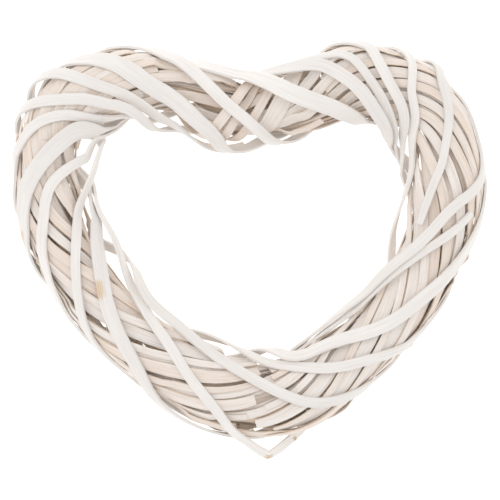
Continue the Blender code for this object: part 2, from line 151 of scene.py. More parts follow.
# Outer strips in the order they are wound: letter, width and crease as shares of the usual outer
# width, how far in degrees its two tucked ends carry on round the back, and (station, angle) where
# the strip passes. A crease is how far the strip's fold stands out at the heart's outer edge.
OUTER_STRIPS = (
    ("b", 1.5, 0.25, 60, 90, (
        (0.3, 180), (1.0, 135), (5.9, 117), (8.5, 90), (11.3, 50), (14.1, 7),
    )),
    ("c", 1.0, 0.25, 60, 90, (
        (4.4, 165), (7.8, 136), (10.5, 110), (12.5, 93), (14.1, 63), (16.3, 0),
    )),
    ("d", 0.933, 0.167, 60, 90, (
        (6.6, 174), (9.2, 125), (12.2, 122), (14.4, 99), (15.9, 87), (18.0, 0),
    )),
    ("e", 0.867, 0.0, 95, 95, (
        (11.0, 168), (13.8, 148), (16.9, 100), (18.6, 60), (22.7, 1),
    )),
    ("f", 1.533, 0.0, 95, 95, (
        (13.4, 183), (16.5, 139), (18.9, 121), (22.2, 77), (24.6, 46), (27.9, -4),
    )),
    ("g", 0.867, 0.0, 95, 95, (
        (15.2, 174), (18.1, 173), (21.3, 149), (22.6, 111), (26.4, 79), (28.8, 35), (36.0, -9),
    )),
    ("h", 0.8, 0.0, 95, 95, (
        (17.6, 183), (21.9, 163), (26.1, 158), (29.9, 96), (34.6, 40), (38.6, 3), (43.2, 1),
    )),
    ("i", 1.2, 0.0, 95, 95, (
        (25.0, 186), (28.4, 163), (32.6, 110), (35.0, 86), (40.3, 46), (43.6, 14), (47.7, 1),
    )),
    ("j", 0.867, 1.5, 95, 95, (
        (26.1, 178), (34.9, 150), (38.5, 120), (43.8, 85), (47.1, 64), (49.2, 22), (51.0, -2),
    )),
    ("k", 0.967, 0.0, 95, 95, (
        (33.6, 178), (35.9, 145), (43.7, 133), (47.9, 123), (50.9, 108), (55.9, 48), (58.6, 9),
    )),
    ("l", 0.867, 0.0, 95, 95, (
        (45.9, 176), (49.7, 153), (54.3, 135), (57.4, 96), (60.8, 54), (62.9, 19), (65.1, 8),
    )),
    ("m", 1.1, 0.0, 95, 95, (
        (50.5, 185), (55.1, 141), (58.2, 135), (62.3, 92), (66.3, 66), (69.4, 34), (75.1, 0),
    )),
    ("n", 0.8, 0.0, 90, 0, (
        (58.1, 176), (64.7, 146), (69.2, 105), (71.1, 81), (74.0, 39),
    )),
    ("o", 0.867, 0.0, 95, 95, (
        (57.1, 185), (62.6, 158), (66.1, 141), (71.1, 99), (74.1, 78), (76.2, 37), (78.1, 8),
        (81.3, 2),
    )),
    ("p", 0.767, 0.25, 0, 95, (
        (72.0, 116), (74.6, 114), (77.5, 97), (79.6, 89), (81.7, 67), (83.6, 44), (84.4, -7),
    )),
    ("q", 0.8, 0.083, 95, 95, (
        (72.3, 185), (77.6, 163), (80.7, 149), (82.7, 117), (85.0, 94), (85.5, 49), (86.8, 1),
    )),
    ("r", 0.917, 0.0, 95, 95, (
        (78.2, 181), (82.0, 154), (83.7, 125), (86.1, 102), (87.8, 78), (88.4, 38), (90.1, 0),
    )),
    ("s", 0.8, 0.0, 90, 40, (
        (80.7, 181), (82.6, 161), (85.6, 133), (87.6, 108), (89.2, 82), (89.9, 45), (92.6, 37),
        (96.2, 11),
    )),
    ("t", 1.1, 0.0, 90, 40, (
        (81.6, 185), (84.6, 148), (86.8, 134), (89.1, 110), (90.6, 90), (91.8, 60), (94.0, 46),
        (96.7, 29), (100.5, 14),
    )),
    ("u", 1.433, 0.0, 90, 60, (
        (88.4, 177), (90.5, 164), (92.3, 129), (94.4, 88), (96.0, 69), (97.5, 51), (99.0, 32),
        (104.7, 29), (107.6, -13),
    )),
    ("a", 1.083, 0.0, 70, 90, (
        (97.2, 185), (98.7, 106), (104.9, 61), (108.9, 4),
    )),
)

# Angle in degrees over which a crease rises, how far the folded strip turns on its side there, and
# the letter of that strip
CREASE_REACH = 24
CREASE_ROLL = 55
ROLLED_STRIP = "j"

# Least and greatest degrees of angle per percent of station at which a tucked end turns
TUCK_SLOPES = (12.0, 26.0)

# Layers of inner strips, inside first: strands side by side, strips that follow one another in
# each strand, how many strand places a strand moves on in one way round the heart, and how many
# percent of the way round the layer leaves open at the notch
INNER_LAYERS = (
    (8, 2, 21, 0),
    (8, 2, 18, 15),
)
INNER_JOINT = 8 * MM

# How far the joints of neighbouring strands are shifted, and how far in degrees a strip sways
JOINT_STAGGER = 0.618
OPEN_STAGGER = 0.03
INNER_SWAY = 5
SWAY_STEPS = (2.3, 1.9, 1.0)

# Steep wraps that bind the notch, wound the other way: width as a share of the usual inner width,
# and (station, angle)
NOTCH_WRAPS = (
    (1.83, ((92.5, 0), (96.8, 90), (99.0, 180), (102.0, 260))),
    (1.06, ((95.5, 10), (98.6, 90), (100.2, 180), (102.5, 250))),
    (0.98, ((98.0, 10), (100.0, 90), (101.1, 180), (104.0, 250))),
    (1.11, ((98.6, 0), (100.9, 90), (102.2, 180), (106.0, 250))),
)

# Detail of the curves and of the map that the strips are laid on
LINE_SAMPLES = 1200
LOCATE_ROUNDS = 8
PATH_SAMPLES = 400
MAP_STATIONS = 900
MAP_ANGLES = 220
SAMPLES_ALONG = 24
SAMPLES_ACROSS = 15
LAYING_PASSES = 12
LIFT_REACH = 1.0
SHARP_ANGLE = 40

# Radius at which the splits along the outer edge and at the notch start, before they are moved
OUTERMOST_RADIUS = TUBE_RADIUS - INNER_DEPTH + INNER_THICKNESS + STRIP_GAP

# Fine detail of the dressed strips: length of a step along them, the gap they keep, and how much
# wider an inner strip is than its solid
OUTER_STEP = 2.0 * MM
INNER_STEP = 2.6 * MM
TOUCH_GAP = 0.06 * MM
INNER_SPREAD = 1.24

# How finely a strip's curve is read, and the fewest places it has
CURVE_SAMPLES = 600
LEAST_PLACES = 4

# How a fine strip is moved clear of the others: how often, at how many places to a step, over how
# many steps each move fades out, the least radius it sinks to, and the radius where nothing hangs
EASE_PASSES = 8
EASE_ALONG = 4
EASE_REACH = 4.0
LEAST_RADIUS = 1.5 * MM
OPEN_ROOF = 1.0

# How much each edge of a strip wanders, the lengths of its waves in metres, and those of the fibres
EDGE_SWAY = 0.05
EDGE_WAVES = (0.061, 0.037, 0.017, 0.009)
FIBRE_WAVES = (0.083, 0.047, 0.021)

# Angles in degrees at which a broad strip is bent sharply over the tube's shoulders, how near to
# them a ring has to be, and how often it counts then
KINK_ANGLES = (-22, 24, 158, 202)
KINK_REACH = 14
KINK_REPEATS = 3

# Places across the section, from its left edge at -1 to its right edge at 1, where its rounded
# edge starts, and the underside's share of the rounding and of the crown
OUTER_ACROSS = (-1, -0.95, -0.8, -0.58, -0.35, -0.12, 0.12, 0.35, 0.58, 0.8, 0.95, 1)
INNER_ACROSS = (-1, -0.93, -0.55, -0.18, 0.18, 0.55, 0.93, 1)
EDGE_START = 0.94
UNDER_ROUNDING = 0.7
UNDER_CROWN = 0.4

# Thin splits deep in the bundle, layer by layer: strands side by side, strips that follow one
# another in each strand, strand places moved on in one way round, radius in mm and width in mm
DEEP_LAYERS = (
    (12, 3, 29, 12.2, 5.8),
    (9, 3, 17, 10.8, 6.4),
    (6, 2, -11, 8.8, 6.6),
)
DEEP_THICKNESS = 0.8 * MM

# Narrower splits that lie between the inner strips of the outermost layer, and how much further
# they bulge out at the heart's outer edge
FILLER_WIDTH = 4.4 * MM
FILLER_THICKNESS = 0.8 * MM
FILLER_SPREAD = 0.2
FILLER_BULGE = 0.4 * MM

# Splits that run along the heart's outer edge from below and back: how many, the percent of the way
# round that each takes, the angle in degrees at its ends and how far it rises from there
EDGE_SPLITS = 14
EDGE_SPAN = 24
EDGE_LOW = -75
EDGE_RISE = 93
EDGE_RISE_SPREAD = 10
EDGE_WIDTH = 5.4 * MM
EDGE_THICKNESS = 0.6 * MM
EDGE_BULGE = 1.6 * MM

# Splits that close the bundle at the notch: how many, the stations between which they run and how
# far those wander, the degrees that they turn per percent and how far they stand out
NOTCH_SPLITS = 10
NOTCH_REACH = (92, 119)
NOTCH_WANDER = 2
NOTCH_TWIST = 8
NOTCH_STAND = 2.4 * MM
NOTCH_WIDTH = 5.4 * MM

# Room that a strip keeps inside the wreath's box, how far its grain starts from that of the next
# seed, where its underside starts on the grain's map, and the step between two strips' seeds
BOX_MARGIN = 0.00002
GRAIN_STRIDE = 0.37
GRAIN_TURN = 2.2
SEED_STEP = 10

# How bare the edges of the outer and the other strips are rubbed, how close to the edge that stays,
# how a bare place leans to one side of the strip, and how softly it ends
OUTER_EDGE_WEAR = 0.35
INNER_EDGE_WEAR = 0.95
EDGE_WEAR_POWER = 8
BARE_LEAN = (1.35, 0.45)
BARE_FADE = 1.5

# Bare places where the wash is gone: strip letter, share of the way along it, reach in mm, and how
# bare it is there, which past 1 shows a brown node
BARE_PLACES = (
    ("f", 0.68, 5, 1.12),
    ("i", 0.38, 7, 1.15),
    ("j", 0.788, 2.6, 1.25),
    ("j", 0.851, 1.8, 1.5),
)

# Grain: what its group starts from, how often fibres, pores and blotches repeat in a metre along
# and across the strip, the detail and roughness of each, and which pores show and how deep they
# are. A fibre's width across the strip is set in mm by each material.
GRAIN_INPUTS = {"Fibre width": 0.5, "Pore amount": 0.3}
FIBRE_REPEATS = 30.0
PORE_REPEATS = (170.0, 4200.0)
BLOTCH_REPEATS = (38.0, 190.0)
FIBRE_DETAIL = (3.0, 0.62)
PORE_DETAIL = (2.0, 0.5)
BLOTCH_DETAIL = (4.0, 0.55)
PORE_LIMITS = (0.8, 0.86)
PORE_SPREAD = 0.3
PORE_DEPTH = 0.5

# Wash: the values between which streaks, blotches, a strip's own tone, brown nodes and bare wood
# come in, how much more wear a thick wash takes, how strongly each effect counts, and the gloss,
# the unevenness, and the brightness of the dull wash beside the full one
STREAK_LIMITS = (0.42, 0.74)
BLOTCH_LIMITS = (0.3, 0.72)
TONE_LIMITS = (0.15, 0.85)
NODE_LIMITS = (1.05, 1.7)
BARE_LIMITS = (1.2, 1.9)
BARE_HOLD = 0.2
BLOTCH_TONE = 0.4
STRIP_TONE = 0.6
STREAK_STRENGTH = 0.45
WORN_FIBRE = 0.7
WORN_BLOTCH = 0.5
PORE_STRENGTH = 0.55
ROUGH_SPREAD = 0.25
ROUGH_DROP = 0.12
BUMP_STRENGTH = 0.75
BUMP_DEPTH = 0.14 * MM
GLOSS = 0.35
DULL_WASH = 0.9

# Stage: half the floor's width, its roughness, the strength of the room's light, the picture's
# gamma, the size and place of the lamp, and the camera's sensor in mm and its nearest distance
FLOOR_REACH = 3.0
FLOOR_ROUGHNESS = 0.9
ROOM_LIGHT = 0.91
PICTURE_GAMMA = 1.2
LAMP_SIZE = 0.9
LAMP_PLACE = (-0.35, 0.45, 1.0)
SENSOR_WIDTH = 36.0
NEAREST_SEEN = 0.01


def distances(points):
    """How far along a line each of its points is."""
    steps = np.linalg.norm(np.diff(points, axis=0), axis=1)
    return np.concatenate([[0], np.cumsum(steps)])


def strip_frame(middle, facing):
    """Sideways and outward directions along a strip, square to where it heads."""
    heading = np.gradient(middle, axis=0)
    heading /= np.linalg.norm(heading, axis=1)[:, None]
    sideways = np.cross(heading, facing)
    sideways /= np.linalg.norm(sideways, axis=1)[:, None]
    return sideways, np.cross(sideways, heading)


def width_share(place, width):
    """How wide a strip is at each place along it, as a share of its usual width."""
    ends = np.clip(np.minimum(place, 1 - place) / END_REACH, 0, 1)
    share = END_WIDTH_SHARE + (1 - END_WIDTH_SHARE) * ends
    start = WIDTH_WAVE_START * width / OUTER_WIDTH
    return share * (1 + WIDTH_SWAY * np.sin(WIDTH_WAVE * place + start))


def section_corners(middle, left, right, up):
    """The four corners of a plain section at each place along a strip."""
    upper_left = middle - left + up
    upper_right = middle + right + up
    return np.stack([upper_left, upper_right, middle + right - up, middle - left - up], axis=1)


def closed_spline(points, count):
    """Points evenly spaced along a smooth closed curve through the given points."""
    size = len(points)
    matrix = 4 * np.eye(size) + np.roll(np.eye(size), 1, 1) + np.roll(np.eye(size), -1, 1)
    turns = np.roll(points, -1, 0) - 2 * points + np.roll(points, 1, 0)
    bends = np.linalg.solve(matrix, 6 * turns)
    place = np.linspace(0, size, 8 * count, endpoint=False)
    before = np.floor(place).astype(int)
    after = (before + 1) % size
    share = (place - before)[:, None]
    rest = 1 - share
    curve = points[before] * rest + points[after] * share
    curve += bends[before] * (rest**3 - rest) / 6 + bends[after] * (share**3 - share) / 6
    closed = np.vstack([curve, curve[:1]])
    travelled = distances(closed)
    even = np.linspace(0, travelled[-1], count, endpoint=False)
    columns = [np.interp(even, travelled, closed[:, axis]) for axis in (0, 1)]
    return np.stack(columns, axis=1), travelled[-1]


class HeartLine:
    """The closed line through the middle of the tube, read by station in percent."""

    def __init__(self):
        scale = np.array([LINE_WIDTH, LINE_HEIGHT])
        self.points, self.length = closed_spline(np.array(HEART_POINTS) * scale, LINE_SAMPLES)
        step = np.roll(self.points, -1, 0) - np.roll(self.points, 1, 0)
        self.along = step / np.linalg.norm(step, axis=1)[:, None]
        self.outward = np.stack([self.along[:, 1], -self.along[:, 0]], axis=1)
        if self.outward[0, 1] < 0:
            self.outward = -self.outward

    def read(self, values, station):
        """Values along the line at any stations, below 0 and above 100 too."""
        grid = np.linspace(0, 100, LINE_SAMPLES, endpoint=False)
        columns = [np.interp(station, grid, values[:, axis], period=100) for axis in (0, 1)]
        return np.stack(columns, axis=-1)

    def share(self, table, station):
        """A table's value at a station, eased between the stated ones."""
        stations, shares = np.array(table).T
        near = [
            np.interp(station + offset, stations, shares, period=100)
            for offset in (-2, -1, 0, 1, 2)
        ]
        return np.mean(near, axis=0)

    def point(self, station, angle, radius):
        """The point at a station, an angle around the tube in radians and a radius."""
        middle = self.read(self.points, station)
        outward = self.read(self.outward, station)
        flat = middle + outward * (radius * np.cos(angle))[..., None]
        height = TUBE_FLATTENING * radius * np.sin(angle)
        return np.concatenate([flat, height[..., None]], axis=-1)

    def facing(self, station, angle):
        """The direction straight away from the tube's surface."""
        outward = self.read(self.outward, station)
        flat = outward * np.cos(angle)[..., None]
        height = np.sin(angle) / TUBE_FLATTENING
        direction = np.concatenate([flat, height[..., None]], axis=-1)
        return direction / np.linalg.norm(direction, axis=-1, keepdims=True)

    def locate(self, points, station):
        """Station, angle and radius of points that lie near the given stations."""
        for _ in range(LOCATE_ROUNDS):
            middle = self.read(self.points, station)
            along = self.read(self.along, station)
            miss = np.sum((points[..., :2] - middle) * along, axis=-1)
            station = station + 100 * miss / self.length
        outward = self.read(self.outward, station)
        reach = np.sum((points[..., :2] - middle) * outward, axis=-1)
        height = points[..., 2] / TUBE_FLATTENING
        return station, np.arctan2(height, reach), np.hypot(reach, height)


class Pile:
    """How high the strips lie so far, as a map over stations and angles."""

    empty = 0.0
    further = np.maximum

    def __init__(self):
        self.radius = np.full((MAP_STATIONS, MAP_ANGLES), self.empty)

    def cells(self, station, angle):
        """The map's cell at each station and angle."""
        row = np.floor(station * MAP_STATIONS / 100).astype(int) % MAP_STATIONS
        column = np.floor(angle * MAP_ANGLES / math.tau).astype(int) % MAP_ANGLES
        return row, column

    def limit(self, station, angle):
        """The furthest radius in the cells at and around each place."""
        row, column = self.cells(station, angle)
        furthest = np.full_like(station, self.empty)
        for down in (-1, 0, 1):
            for right in (-1, 0, 1):
                near = self.radius[(row + down) % MAP_STATIONS, (column + right) % MAP_ANGLES]
                furthest = self.further(furthest, near)
        return furthest

    def add(self, station, angle, radius):
        """Move the map out to the given places."""
        self.further.at(self.radius, self.cells(station, angle), radius)


class Roof(Pile):
    """How low the strips hang so far, seen from inside the bundle."""

    empty = OPEN_ROOF
    further = np.minimum


def eased_path(knots, stations):
    """Angles at the stations, on a smooth line through the knots that never turns back."""
    place = np.array([knot[0] for knot in knots], float)
    value = np.array([knot[1] for knot in knots], float)
    slope = np.diff(value) / np.diff(place)
    between = 2 * slope[1:] * slope[:-1] / (slope[1:] + slope[:-1])
    tangent = np.concatenate([slope[:1], between, slope[-1:]])
    piece = np.clip(np.searchsorted(place, stations) - 1, 0, len(slope) - 1)
    width = place[piece + 1] - place[piece]
    share = np.clip((stations - place[piece]) / width, 0, 1)
    rest = 1 - share
    angle = value[piece] * rest**2 * (1 + 2 * share)
    angle = angle + value[piece + 1] * share**2 * (1 + 2 * rest)
    angle += width * share * rest * (tangent[piece] * rest - tangent[piece + 1] * share)
    return angle


def with_tucks(knots, start_turn, end_turn):
    """The knots with an end round the back added where a strip is tucked in."""
    knots = list(knots)
    if start_turn:
        place, value = knots[0]
        slope = np.clip(abs((knots[2][1] - value) / (knots[2][0] - place)), *TUCK_SLOPES)
        turn = math.copysign(start_turn, value - knots[1][1])
        knots.insert(0, (place - start_turn / slope, value + turn))
    if end_turn:
        place, value = knots[-1]
        slope = np.clip(abs((knots[-3][1] - value) / (knots[-3][0] - place)), *TUCK_SLOPES)
        turn = math.copysign(end_turn, value - knots[-2][1])
        knots.append((place + end_turn / slope, value + turn))
    return knots


class Strip:
    """One flat split: its path, its section and the radius it ends up at."""

    def __init__(self, line, name, knots, width, thickness, radius, segment, crease=0.0):
        self.line = line
        self.name = name
        self.width = width
        self.thickness = thickness
        self.crease = crease
        fine = np.linspace(knots[0][0], knots[-1][0], PATH_SAMPLES)
        angle = np.radians(eased_path(knots, fine))
        spots = line.point(fine, angle, np.full_like(fine, radius))
        travelled = distances(spots)
        fold = self.fold_place(angle, travelled)
        count_before = max(1, round(fold / segment)) if fold > 0 else 0
        count_after = max(1, round((travelled[-1] - fold) / segment))
        even = np.concatenate([
            np.linspace(0, fold, count_before, endpoint=False),
            np.linspace(fold, travelled[-1], count_after + 1),
        ])
        self.station = np.interp(even, travelled, fine)
        self.angle = np.interp(even, travelled, angle)
        self.radius = radius * line.share(TUBE_SWELL, self.station)
        spread = np.abs(np.degrees(self.angle)) / CREASE_REACH
        self.bump = np.clip(1 - spread, 0, 1)
        outward = np.cos(self.angle)
        self.radius -= line.share(OUTER_PRESS, self.station) * np.clip(outward, 0, 1)
        self.radius -= line.share(INNER_PRESS, self.station) * np.clip(-outward, 0, 1)
        self.radius += crease * self.bump

    def fold_place(self, angle, travelled):
        """How far along the strip it crosses the heart's outer edge, or 0."""
        crossed = np.nonzero(np.diff(np.sign(angle)))[0]
        if self.crease == 0 or len(crossed) == 0:
            return 0
        return travelled[crossed[0]]

    def corners(self):
        """The four corners of the section at each place along the strip."""
        middle = self.line.point(self.station, self.angle, self.radius)
        roll = np.radians(CREASE_ROLL) * self.bump if self.name.endswith("_" + ROLLED_STRIP) else 0
        facing = self.line.facing(self.station, self.angle + roll)
        sideways, facing = strip_frame(middle, facing)
        share = width_share(np.linspace(0, 1, len(middle)), self.width)
        half_width = sideways * (share * self.width / 2)[:, None]
        return section_corners(middle, half_width, half_width, facing * self.thickness / 2)

    def face_samples(self, left, right):
        """Places spread over one broad face of the strip, and how far along it they are."""
        corners = self.corners()
        along = (np.arange(SAMPLES_ALONG + 1) / SAMPLES_ALONG)[None, :, None, None]
        across = np.linspace(0, 1, SAMPLES_ACROSS)[None, None, :, None]
        a = corners[:-1, None, None, left]
        b = corners[:-1, None, None, right]
        c = corners[1:, None, None, right]
        d = corners[1:, None, None, left]
        near = a + (b - a) * across + (c - b) * along
        far = a + (c - d) * across + (d - a) * along
        spots = np.where(across >= along, near, far)
        return self.located(spots, along)

    def located(self, spots, along):
        """Station, angle and radius of places on the strip, and how far along it they are."""
        order = np.arange(len(self.station))
        ahead = order[:-1, None, None] + along[..., 0] + np.zeros((1, 1, SAMPLES_ACROSS))
        guess = np.interp(ahead, order, self.station)
        station, angle, radius = self.line.locate(spots, guess)
        return station.ravel(), angle.ravel(), radius.ravel(), ahead.ravel()

    def topside(self):
        """Places on the face that looks away from the tube."""
        return self.face_samples(0, 1)

    def underside(self):
        """Places on the face that looks into the tube."""
        return self.face_samples(3, 2)

    def lay(self, pile):
        """Lift the strip until it clears the pile, and add it to the pile."""
        order = np.arange(len(self.station))
        for _ in range(LAYING_PASSES):
            station, angle, radius, ahead = self.underside()
            need = pile.limit(station, angle) + STRIP_GAP - radius
            short = need > 0
            if not short.any():
                break
            away = np.abs(ahead[short][None, :] - order[:, None])
            weight = 0.5 + 0.5 * np.cos(np.pi * np.clip((away - 1) / LIFT_REACH, 0, 1))
            self.radius = self.radius + (weight * need[short][None, :]).max(axis=1)
        pile.add(*self.topside()[:3])


def inner_knots(line, layer, strand, part):
    """Path of one inner strip of a layer, with a small sway of its own."""
    strands, parts, advance, opening = INNER_LAYERS[layer]
    stagger = strand * JOINT_STAGGER if opening == 0 else OPEN_STAGGER * math.sin(strand)
    share = opening / 200 + (part + stagger) * (1 - opening / 100) / parts
    span = (1 - opening / 100) / parts - INNER_JOINT / line.length
    turn = 360 * advance / strands
    first = 360 * strand / strands + turn * share
    sway = INNER_SWAY * math.sin(np.dot(SWAY_STEPS, (strand, part, layer)))
    return [
        (100 * share, first - sway),
        (100 * (share + span / 2), first + turn * span / 2 + sway),
        (100 * (share + span), first + turn * span - sway),
    ]


def bundle_relief(line, station, angle):
    """How far the bundle of inner strips bulges out of a plain tube, or stays back in it."""
    outward = np.cos(angle)
    hollow = line.share(INNER_HOLLOW, station)
    return INNER_BULGE * np.clip(outward, 0, 1) - hollow * np.clip(-outward, 0, 1)


def plan_strips(line):
    """Every strip in the order they are laid."""
    strips = []
    for layer, (strands, parts, _, _) in enumerate(INNER_LAYERS):
        radius = TUBE_RADIUS - INNER_DEPTH + layer * (INNER_THICKNESS + STRIP_GAP)
        for part in range(parts):
            for strand in range(strands):
                name = f"inner_strip_{len(strips) + 1:02d}"
                spread = INNER_WIDTH_SPREAD * math.sin(INNER_WIDTH_STEP * len(strips))
                knots = inner_knots(line, layer, strand, part)
                strip = Strip(
                    line, name, knots, INNER_WIDTH * (1 + spread), INNER_THICKNESS, radius,
                    INNER_SEGMENT,
                )
                strip.radius += bundle_relief(line, strip.station, strip.angle)
                strips.append(strip)
    for index, (width, knots) in enumerate(NOTCH_WRAPS):
        name = f"notch_wrap_{index + 1}"
        radius = TUBE_RADIUS - INNER_DEPTH / 2
        strips.append(Strip(
            line, name, knots, width * INNER_WIDTH, INNER_THICKNESS, radius, OUTER_SEGMENT
        ))
    for letter, width, crease, start_turn, end_turn, knots in OUTER_STRIPS:
        name = f"outer_strip_{letter}"
        knots = with_tucks(knots, start_turn, end_turn)
        strips.append(Strip(
            line, name, knots, width * OUTER_WIDTH, OUTER_THICKNESS, TUBE_RADIUS, OUTER_SEGMENT,
            crease * OUTER_WIDTH,
        ))
    return strips


def smooth_curve(values, count):
    """A smooth curve of the given number of points that bends easily past the given values."""
    first = 2 * values[:1] - values[1:2]
    last = 2 * values[-1:] - values[-2:-1]
    padded = np.concatenate([first, values, last])
    place = np.linspace(0, len(values) - 1, count)
    start = np.minimum(place.astype(int), len(values) - 2)
    share = place - start
    rest = 1 - share
    return (
        rest**3 * padded[start]
        + (3 * share**3 - 6 * share**2 + 4) * padded[start + 1]
        + (3 * rest**3 - 6 * rest**2 + 4) * padded[start + 2]
        + share**3 * padded[start + 3]
    ) / 6


def kink_rings(strip):
    """How often each ring of a coarse strip counts, and where it counts more the strip is bent."""
    repeats = np.ones(len(strip.station), int)
    if not strip.name.startswith("outer"):
        return repeats
    turned = np.degrees(strip.angle)
    for bend in KINK_ANGLES:
        away = np.abs(turned - bend)
        nearest = int(np.argmin(away))
        if away[nearest] < KINK_REACH and 0 < nearest < len(repeats) - 1:
            repeats[nearest] = KINK_REPEATS
    return repeats


def slow_noise(place, seed, waves):
    """A wandering value between about -1 and 1 along a strip, from a few sines."""
    chance = np.random.default_rng(seed)
    total = np.zeros_like(place)
    for wave in waves:
        start = chance.uniform(0, math.tau)
        total += np.sin(place * math.tau / wave + start) * chance.uniform(0.5, 1)
    return total / len(waves)


class FineStrip(Strip):
    """A strip of the bundle with many short steps and a rounded, slightly uneven section."""

    def __init__(self, coarse, seed, step):
        self.line = coarse.line
        self.name = coarse.name
        self.width = coarse.width * (INNER_SPREAD if coarse.name.startswith("inner") else 1)
        self.thickness = coarse.thickness
        self.seed = seed
        legs = [(0, len(coarse.station) - 1)]
        self.folded = coarse.name.endswith("_" + ROLLED_STRIP)
        if self.folded:
            fold = int(np.argmax(coarse.bump))
            legs = [(0, fold), (fold, len(coarse.station) - 1)]
        repeats = kink_rings(coarse)
        parts = []
        for first, last in legs:
            leg = slice(first, last + 1)
            rows = np.stack([
                smooth_curve(np.repeat(values[leg], repeats[leg]), CURVE_SAMPLES)
                for values in (coarse.station, coarse.angle, coarse.radius, coarse.bump)
            ])
            travelled = distances(self.line.point(rows[0], rows[1], rows[2]))
            count = max(LEAST_PLACES, int(round(travelled[-1] / step)) + 1)
            even = np.linspace(0, travelled[-1], count)
            rows = np.stack([np.interp(even, travelled, row) for row in rows])
            parts.append(rows[:, 1:] if parts else rows)
        self.station, self.angle, self.radius, self.bump = np.concatenate(parts, axis=1)

    def frames(self):
        """Middle, sideways and outward directions, and distance, at each step."""
        middle = self.line.point(self.station, self.angle, self.radius)
        facing = self.line.facing(self.station, self.angle + self.roll())
        sideways, facing = strip_frame(middle, facing)
        return middle, sideways, facing, distances(middle)

    def roll(self):
        """How far a folded strip is turned on its side, which keeps its second leg in view."""
        if not self.folded:
            return 0
        full = np.radians(CREASE_ROLL)
        fading = np.clip(2 + self.angle / full, 0, 1)
        under = np.clip(-self.angle, 0, full) * fading
        return np.where(self.angle > 0, full * self.bump, full * fading + under)

    def half_widths(self, travelled):
        """Half the strip's width to the left and to the right at each step."""
        share = width_share(travelled / travelled[-1], self.width)
        left = 1 + EDGE_SWAY * slow_noise(travelled, self.seed + 1, EDGE_WAVES)
        right = 1 + EDGE_SWAY * slow_noise(travelled, self.seed + 2, EDGE_WAVES)
        return share * self.width / 2 * left, share * self.width / 2 * right

    def corners(self):
        """The four corners of a plain section, for laying the strip."""
        middle, sideways, facing, travelled = self.frames()
        left, right = self.half_widths(travelled)
        up = facing * self.thickness / 2
        return section_corners(middle, sideways * left[:, None], sideways * right[:, None], up)

    def face_samples(self, left, right):
        """Places spread over one broad face of the strip, and how far along it they are."""
        corners = self.corners()
        along = (np.arange(EASE_ALONG) / EASE_ALONG)[None, :, None, None]
        across = np.linspace(0, 1, SAMPLES_ACROSS)[None, None, :, None]
        a = corners[:, None, None, left]
        b = corners[:, None, None, right]
        near = a[:-1] * (1 - across) + b[:-1] * across
        far = a[1:] * (1 - across) + b[1:] * across
        return self.located(near * (1 - along) + far * along, along)

    def ease(self, samples, missing, way):
        """Move the strip out or in, softly along its length, until nothing is missing."""
        order = np.arange(len(self.station))
        away = np.abs(order[None, :] - order[:, None])
        weight = 0.5 + 0.5 * np.cos(np.pi * np.clip((away - 1) / EASE_REACH, 0, 1))
        for _ in range(EASE_PASSES):
            station, angle, radius, ahead = samples()
            step = np.clip(np.round(ahead).astype(int), 0, len(order) - 1)
            most = np.zeros(len(order))
            np.maximum.at(most, step, missing(station, angle, radius))
            if most.max() <= 0:
                break
            self.radius = self.radius + way * (weight * most[None, :]).max(axis=1)

    def lay(self, pile):
        """Ease the strip up until it clears the pile, and add it to the pile."""
        self.ease(
            self.underside,
            lambda station, angle, radius: pile.limit(station, angle) + TOUCH_GAP - radius, 1,
        )
        pile.add(*self.topside()[:3])

    def sink(self, roof):
        """Ease the strip down until it clears what lies over it."""
        self.ease(
            self.topside,
            lambda station, angle, radius: radius + TOUCH_GAP - roof.limit(station, angle), -1,
        )
        self.radius = np.maximum(self.radius, LEAST_RADIUS)


class StripSettings(bpy.types.PropertyGroup):
    """Sizes of the strips' own unevenness."""

    crown: FloatProperty(
        name="Crown", description="How far a broad strip's middle stands above its edges",
        default=0.16 * MM, min=0, subtype="DISTANCE", unit="LENGTH",
    )
    fibre_height: FloatProperty(
        name="Fibre height", description="How far the long fibres are raised or sunk",
        default=0.12 * MM, min=0, subtype="DISTANCE", unit="LENGTH",
    )
    edge_drop: FloatProperty(
        name="Edge rounding", description="Share of the thickness that is rounded off at an edge",
        default=0.22, min=0, max=1, subtype="FACTOR",
    )


class FinishSettings(bpy.types.PropertyGroup):
    """Colours of the washed, thinly washed and bare rattan, and of the deep splits, whose colours
    hold painted fill light and painted shade.
    """

    wash: FloatVectorProperty(
        name="White wash", description="Colour of the thick white wash", subtype="COLOR",
        size=3, default=(0.885, 0.842, 0.80), min=0, max=1,
    )
    thin_wash: FloatVectorProperty(
        name="Thin wash", description="Colour of the thin wash on the inner splits",
        subtype="COLOR", size=3, default=(0.82, 0.685, 0.585), min=0, max=1,
    )
    # The two deep colours are lighter than the thin wash as painted fill light for splits that
    # little light reaches, and browner as painted shade of the gaps.
    deep_wash_painted_fill: FloatVectorProperty(
        name="Deep wash, painted fill light", description="Colour of the splits deep in the bundle", subtype="COLOR",
        size=3, default=(0.97, 0.875, 0.78), min=0, max=1,
    )
    deep_tan_painted_shade_and_fill: FloatVectorProperty(
        name="Deep tan, painted shade and fill light", description="Darker colour of the splits deep in the bundle",
        subtype="COLOR", size=3, default=(0.94, 0.77, 0.61), min=0, max=1,
    )
    bare: FloatVectorProperty(
        name="Bare rattan", description="Colour of rattan with no wash left on it", subtype="COLOR",
        size=3, default=(0.66, 0.47, 0.28), min=0, max=1,
    )
    fibre: FloatVectorProperty(
        name="Dark fibres", description="Colour of the dark fibres and pores", subtype="COLOR",
        size=3, default=(0.42, 0.30, 0.215), min=0, max=1,
    )


